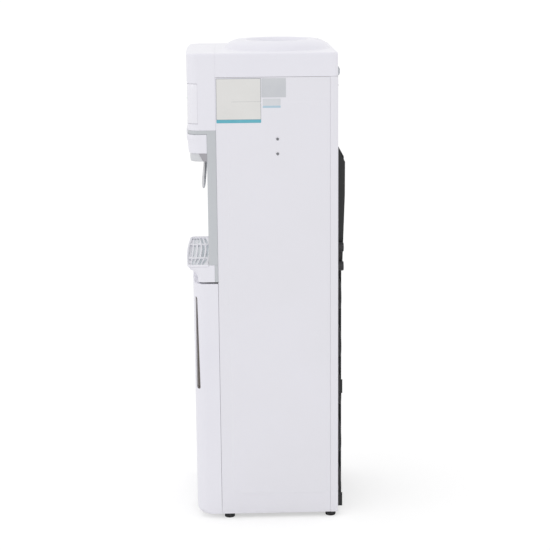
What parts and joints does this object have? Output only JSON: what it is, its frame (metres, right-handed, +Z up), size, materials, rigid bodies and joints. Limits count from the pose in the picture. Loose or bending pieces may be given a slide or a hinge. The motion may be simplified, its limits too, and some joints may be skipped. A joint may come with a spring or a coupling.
{
  "type": "top load water cooler",
  "caption": "Free-standing top load water cooler with a bottle collar, lever taps over a drip tray, a storage door and a wire condenser behind.",
  "frame": {"origin": "centre of the whole object's footprint, on the floor under the feet", "axes": "+Z up, -Y towards the user at the taps and the door, +X to the user's right"},
  "size_m": [0.31, 0.33, 1],
  "materials": {
    "white_abs": "satin moulded plastic",
    "clear_panel": "smooth pale panel",
    "silver_abs": "silver grey moulded plastic",
    "skirt_abs": "grey moulded plastic",
    "white_paint": "white painted sheet",
    "zinc_sheet": "galvanised sheet",
    "black_paint": "black paint",
    "lever_metal": "plated lever",
    "dark_plastic": "black moulded plastic",
    "grey_plastic": "grey moulded plastic",
    "grip_plastic": "dark brown plastic",
    "soft_grey": "soft gasket",
    "black_rubber": "black rubber",
    "steel": "stainless sheet",
    "copper": "bare copper",
    "foam": "white bead foam",
    "jacket": "insulating jacket",
    "silicone": "translucent silicone",
    "board": "circuit board",
    "lamp": "lamp lens",
    "red_plastic": "red rocker",
    "green_plastic": "green rocker"
  },
  "bodies": {
    "cabinet": {"base_pan": "zinc_sheet", "feet": "black_rubber", "side_panel_left": "white_paint", "side_panel_right": "white_paint", "back_plate": "white_paint", "mid_shelf": "zinc_sheet", "tank_bracket": "zinc_sheet", "top_cover": "white_abs", "front_cover": "white_abs", "display_panel": "clear_panel", "indicator_lenses": "lamp", "light_board": "board", "niche_panel": "silver_abs", "tap_housing": "white_abs", "tap_skirt": "skirt_abs", "tap_body_cold": "white_abs", "tap_body_room": "white_abs", "tap_body_hot": "white_abs", "tray_apron": "white_abs", "door_hinges": "zinc_sheet", "storage_liner": "white_abs", "compressor": "black_paint", "compressor_mounts": "black_rubber", "relay_box": "dark_plastic", "filter_drier": "copper", "refrigerant_pipes": "copper", "condenser_tube": "black_paint", "condenser_wires": "black_paint", "condenser_brackets": "black_paint", "cold_tank": "steel", "evaporator_coil": "copper", "tank_foam": "foam", "hot_tank": "steel", "heater_band": "copper", "hot_jacket": "jacket", "water_hoses": "silicone", "hot_hose": "silicone", "drain_pipes": "silicone", "switch_bezel": "dark_plastic", "cord_gland": "dark_plastic", "panel_screws": "steel", "lid_clips": "grey_plastic"},
    "door": {"door_shell": "white_abs", "door_liner": "white_abs", "door_grip": "grip_plastic", "door_gasket": "soft_grey"},
    "lever_cold": {"tap_lever_cold": "lever_metal"},
    "lever_room": {"tap_lever_room": "lever_metal"},
    "lever_hot": {"tap_lever_hot": "lever_metal"},
    "valve_cold": {"tap_valve_cold": "silicone"},
    "valve_room": {"tap_valve_room": "silicone"},
    "valve_hot": {"tap_valve_hot": "silicone"},
    "basin": {"drip_basin": "grey_plastic"},
    "grille": {"drip_grille": "white_abs"},
    "seat": {"bottle_seat": "white_abs"},
    "rocker_hot": {"switch_hot": "red_plastic"},
    "rocker_cold": {"switch_cold": "green_plastic"},
    "cap_hot": {"drain_cap_hot": "dark_plastic"},
    "cap_cold": {"drain_cap_cold": "dark_plastic"}
  },
  "joints": [
    {"name": "door_hinge", "type": "hinge", "parent": "cabinet", "child": "door", "pos_m": [-0.148, -0.109, 0.0128], "axis": [0, 0, -1], "range_deg": [0, 110]},
    {"name": "lever_cold_swing", "type": "hinge", "parent": "cabinet", "child": "lever_cold", "pos_m": [0.08, -0.123, 0.796], "axis": [1, 0, 0], "range_deg": [0, 8], "stiffness_Nm_per_rad": 0.6, "springref_deg": -5.73},
    {"name": "valve_cold_push", "type": "slide", "parent": "cabinet", "child": "valve_cold", "axis": [0, 0, -1], "range_m": [0, 0.00174]},
    {"name": "lever_room_swing", "type": "hinge", "parent": "cabinet", "child": "lever_room", "pos_m": [0, -0.123, 0.796], "axis": [1, 0, 0], "range_deg": [0, 8], "stiffness_Nm_per_rad": 0.6, "springref_deg": -5.73},
    {"name": "valve_room_push", "type": "slide", "parent": "cabinet", "child": "valve_room", "axis": [0, 0, -1], "range_m": [0, 0.00174]},
    {"name": "lever_hot_swing", "type": "hinge", "parent": "cabinet", "child": "lever_hot", "pos_m": [-0.08, -0.123, 0.796], "axis": [1, 0, 0], "range_deg": [0, 8], "stiffness_Nm_per_rad": 0.6, "springref_deg": -5.73},
    {"name": "valve_hot_push", "type": "slide", "parent": "cabinet", "child": "valve_hot", "axis": [0, 0, -1], "range_m": [0, 0.00174]},
    {"name": "basin_lift", "type": "slide", "parent": "cabinet", "child": "basin", "axis": [0, 0, 1], "range_m": [0, 0.05]},
    {"name": "grille_lift", "type": "slide", "parent": "basin", "child": "grille", "axis": [0, 0, 1], "range_m": [0, 0.05]},
    {"name": "seat_lift", "type": "slide", "parent": "cabinet", "child": "seat", "axis": [0, 0, 1], "range_m": [0, 0.1]},
    {"name": "switch_hot_tilt", "type": "hinge", "parent": "cabinet", "child": "rocker_hot", "pos_m": [-0.098, 0.146, 0.8647], "axis": [-1, 0, 0], "range_deg": [0, 16]},
    {"name": "switch_cold_tilt", "type": "hinge", "parent": "cabinet", "child": "rocker_cold", "pos_m": [-0.072, 0.146, 0.8647], "axis": [-1, 0, 0], "range_deg": [0, 16]},
    {"name": "drain_cap_hot_turn", "type": "hinge", "parent": "cabinet", "child": "cap_hot", "pos_m": [0.138, 0.149, 0.543], "axis": [0, 1, 0], "range_deg": [0, 360]},
    {"name": "drain_cap_cold_turn", "type": "hinge", "parent": "cabinet", "child": "cap_cold", "pos_m": [0.138, 0.149, 0.583], "axis": [0, 1, 0], "range_deg": [0, 360]}
  ],
  "couplings": [
    {"joint": "valve_cold_push", "follows": "lever_cold_swing", "m_per_rad": 0.011},
    {"joint": "valve_room_push", "follows": "lever_room_swing", "m_per_rad": 0.011},
    {"joint": "valve_hot_push", "follows": "lever_hot_swing", "m_per_rad": 0.011}
  ]
}
